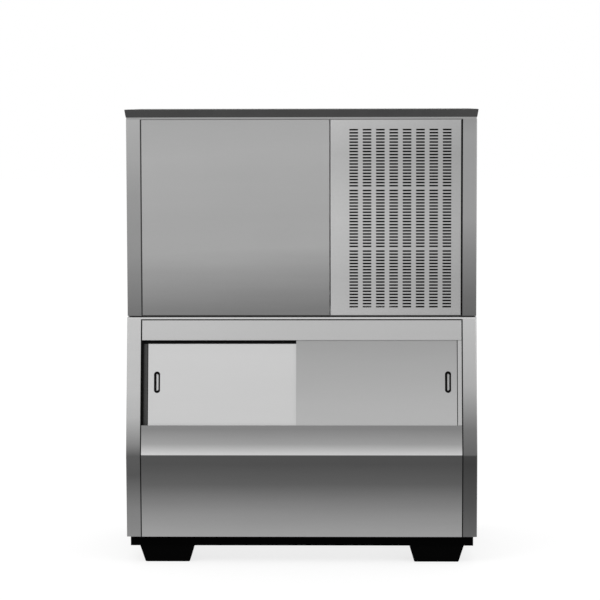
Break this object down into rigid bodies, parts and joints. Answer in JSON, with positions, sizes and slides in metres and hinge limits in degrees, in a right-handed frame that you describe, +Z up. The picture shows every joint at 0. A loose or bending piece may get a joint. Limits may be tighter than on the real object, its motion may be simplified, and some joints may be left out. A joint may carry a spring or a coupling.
{
  "type": "ice machine",
  "caption": "Modular ice maker head with a louvred front on a slant-front storage bin with two sliding doors.",
  "frame": {"origin": "on the floor, below the middle of the overall box", "axes": "+Z up, front faces -Y, the viewer's right is +X"},
  "size_m": [1.2282, 0.776, 1.5775],
  "materials": {
    "steel": "brushed stainless steel, fine grain across",
    "louvre_steel": "brushed stainless steel, coarser grain",
    "door_steel": "brushed stainless steel, smooth and pale",
    "cover_paint": "satin dark grey paint",
    "rail_steel": "brushed stainless steel",
    "galvanised": "galvanised sheet",
    "black_paint": "semi-gloss black paint",
    "foot_plastic": "moulded black plastic",
    "black_plastic": "moulded black plastic",
    "track_plastic": "extruded dark grey plastic",
    "rubber": "black foam rubber",
    "liner_plastic": "white moulded plastic",
    "curtain_plastic": "pale grey moulded plastic",
    "riser_plastic": "pale plastic tube",
    "coil_aluminium": "dusty aluminium fins",
    "nickel": "satin nickel plate",
    "copper": "drawn copper",
    "brass": "turned brass",
    "motor_paint": "dark enamel"
  },
  "bodies": {
    "cabinet": {"base_frame": "black_paint", "bin_drain": "liner_plastic", "bin_floor_pan": "galvanised", "bin_left_side": "steel", "bin_liner": "liner_plastic", "bin_rear_panel": "galvanised", "bin_right_side": "steel", "bin_top_frame": "steel", "bulkhead": "galvanised", "cable_gland": "black_plastic", "compressor": "black_paint", "compressor_grommets": "rubber", "condenser_coil": "coil_aluminium", "control_box": "galvanised", "discharge_line": "copper", "door_surround": "black_plastic", "evaporator_coil": "copper", "evaporator_frame": "liner_plastic", "evaporator_plate": "nickel", "expansion_line": "copper", "fan_bracket": "galvanised", "fan_motor": "motor_paint", "fan_shroud": "galvanised", "filter_drier": "copper", "float_valve": "liner_plastic", "foot_front_left": "foot_plastic", "foot_front_right": "foot_plastic", "foot_rear_left": "foot_plastic", "foot_rear_right": "foot_plastic", "front_apron": "steel", "head_base_pan": "galvanised", "head_front_panel": "steel", "head_gasket": "rubber", "head_left_side": "steel", "head_rear_panel": "galvanised", "head_right_side": "steel", "head_top_rail": "rail_steel", "header_panel": "steel", "left_jamb": "track_plastic", "liquid_line": "copper", "louvre_panel": "louvre_steel", "lower_track": "track_plastic", "right_jamb": "steel", "riser_tube": "riser_plastic", "suction_line": "copper", "top_cover": "cover_paint", "trough_drain": "liner_plastic", "upper_track": "black_plastic", "water_distributor": "liner_plastic", "water_inlet": "brass", "water_pump": "motor_paint", "water_trough": "liner_plastic"},
    "left_door": {"left_door": "door_steel", "left_door_pull": "black_plastic"},
    "right_door": {"right_door": "door_steel", "right_door_pull": "black_plastic"},
    "fan": {"fan_blade": "black_plastic"},
    "curtain": {"water_curtain": "curtain_plastic"},
    "float": {"float_arm": "liner_plastic"},
    "toggle": {"toggle_switch": "black_plastic"}
  },
  "joints": [
    {"name": "left_door_slide", "type": "slide", "parent": "cabinet", "child": "left_door", "axis": [1, 0, 0], "range_m": [0, 0.517]},
    {"name": "right_door_slide", "type": "slide", "parent": "cabinet", "child": "right_door", "axis": [1, 0, 0], "range_m": [-0.517, 0]},
    {"name": "fan_spin", "type": "hinge", "parent": "cabinet", "child": "fan", "pos_m": [0.344, -0.087, 1.198], "axis": [0, 1, 0], "continuous": true},
    {"name": "curtain_swing", "type": "hinge", "parent": "cabinet", "child": "curtain", "pos_m": [-0.209, -0.023, 1.448], "axis": [-1, 0, 0], "range_deg": [0, 25]},
    {"name": "float_rise", "type": "hinge", "parent": "cabinet", "child": "float", "pos_m": [0.055, 0.111, 0.9675], "axis": [-1, 0, 0], "range_deg": [0, 18]},
    {"name": "toggle_throw", "type": "hinge", "parent": "cabinet", "child": "toggle", "pos_m": [-0.5475, -0.2605, 1.363], "axis": [1, 0, 0], "range_deg": [-18, 18]}
  ]
}
